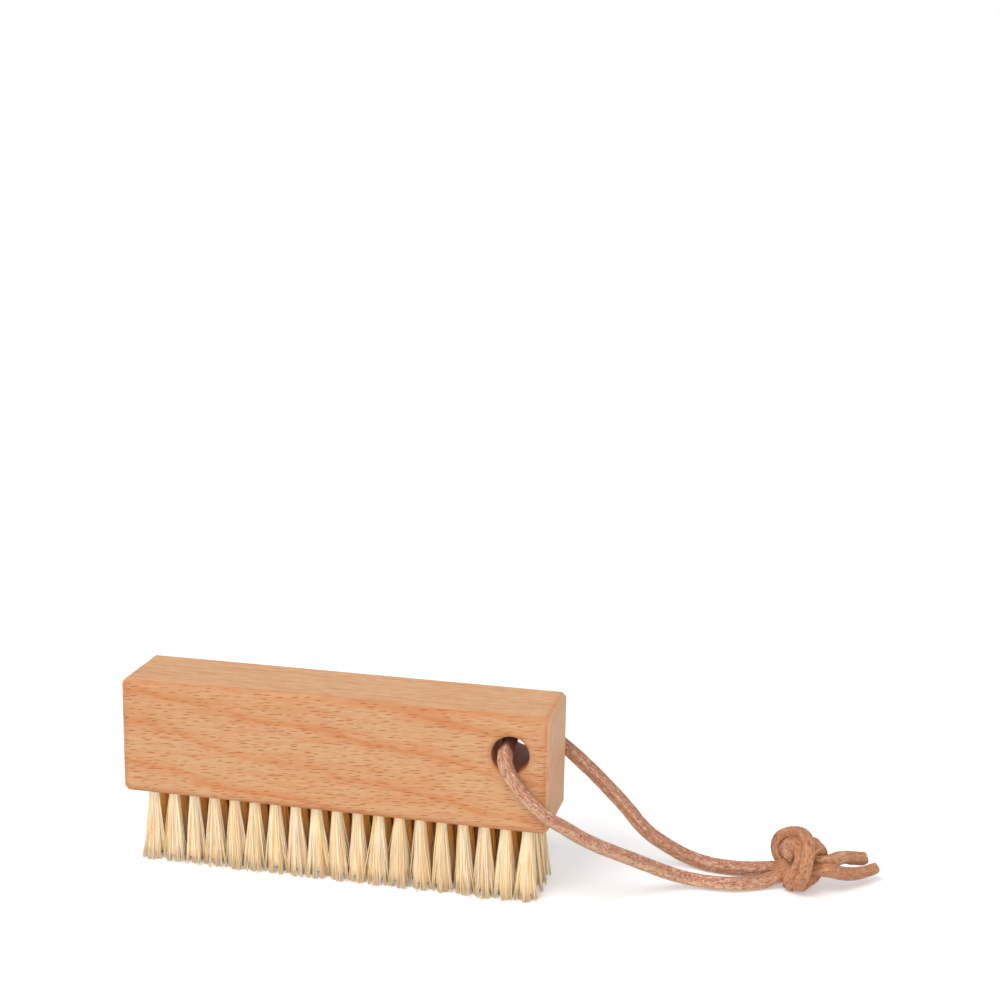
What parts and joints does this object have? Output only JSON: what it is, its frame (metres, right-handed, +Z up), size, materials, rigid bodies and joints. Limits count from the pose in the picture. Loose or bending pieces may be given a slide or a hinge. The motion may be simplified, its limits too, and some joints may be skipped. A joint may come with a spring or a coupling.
{
  "type": "nail brush",
  "caption": "Wooden block nail brush with rows of natural bristle tufts and a knotted leather hanging loop through one end.",
  "frame": {"origin": "middle of the bristle tips, on the surface that the brush stands on, under the block's centre", "axes": "+X along the block towards the strap hole, -Y the face that the lace crosses, +Z up from the bristle tips to the block's top"},
  "size_m": [0.1886, 0.0458, 0.0485],
  "materials": {
    "beech": "smooth oiled hardwood",
    "bristle": "satin natural fibre",
    "anchor_wire": "flat wire",
    "leather": "matte vegetable-tanned lace"
  },
  "bodies": {
    "brush": {"block": "beech", "bristle_tufts_1": "bristle", "bristle_tufts_2": "bristle", "bristle_tufts_3": "bristle", "bristle_tufts_4": "bristle", "bristle_tufts_5": "bristle", "bristle_tufts_6": "bristle", "bristle_tufts_7": "bristle", "bristle_tufts_8": "bristle", "bristle_tufts_9": "bristle", "bristle_tufts_10": "bristle", "bristle_tufts_11": "bristle", "bristle_tufts_12": "bristle", "bristle_tufts_13": "bristle", "bristle_tufts_14": "bristle", "bristle_tufts_15": "bristle", "bristle_tufts_16": "bristle", "bristle_tufts_17": "bristle", "bristle_tufts_18": "bristle", "bristle_tufts_19": "bristle", "tuft_anchors_1": "anchor_wire", "tuft_anchors_2": "anchor_wire", "tuft_anchors_3": "anchor_wire", "tuft_anchors_4": "anchor_wire", "tuft_anchors_5": "anchor_wire", "tuft_anchors_6": "anchor_wire", "tuft_anchors_7": "anchor_wire", "tuft_anchors_8": "anchor_wire", "tuft_anchors_9": "anchor_wire", "tuft_anchors_10": "anchor_wire", "tuft_anchors_11": "anchor_wire", "tuft_anchors_12": "anchor_wire", "tuft_anchors_13": "anchor_wire", "tuft_anchors_14": "anchor_wire", "tuft_anchors_15": "anchor_wire", "tuft_anchors_16": "anchor_wire", "tuft_anchors_17": "anchor_wire", "tuft_anchors_18": "anchor_wire", "tuft_anchors_19": "anchor_wire"},
    "strap": {"strap_through_hole": "leather", "strap_front_strand": "leather", "strap_back_strand": "leather", "strap_knot": "leather", "strap_tails": "leather"}
  },
  "joints": [
    {"name": "strap_swing", "type": "hinge", "parent": "brush", "child": "strap", "pos_m": [0.0452, 0, 0.0381], "axis": [0, -1, 0], "range_deg": [0, 150]}
  ]
}
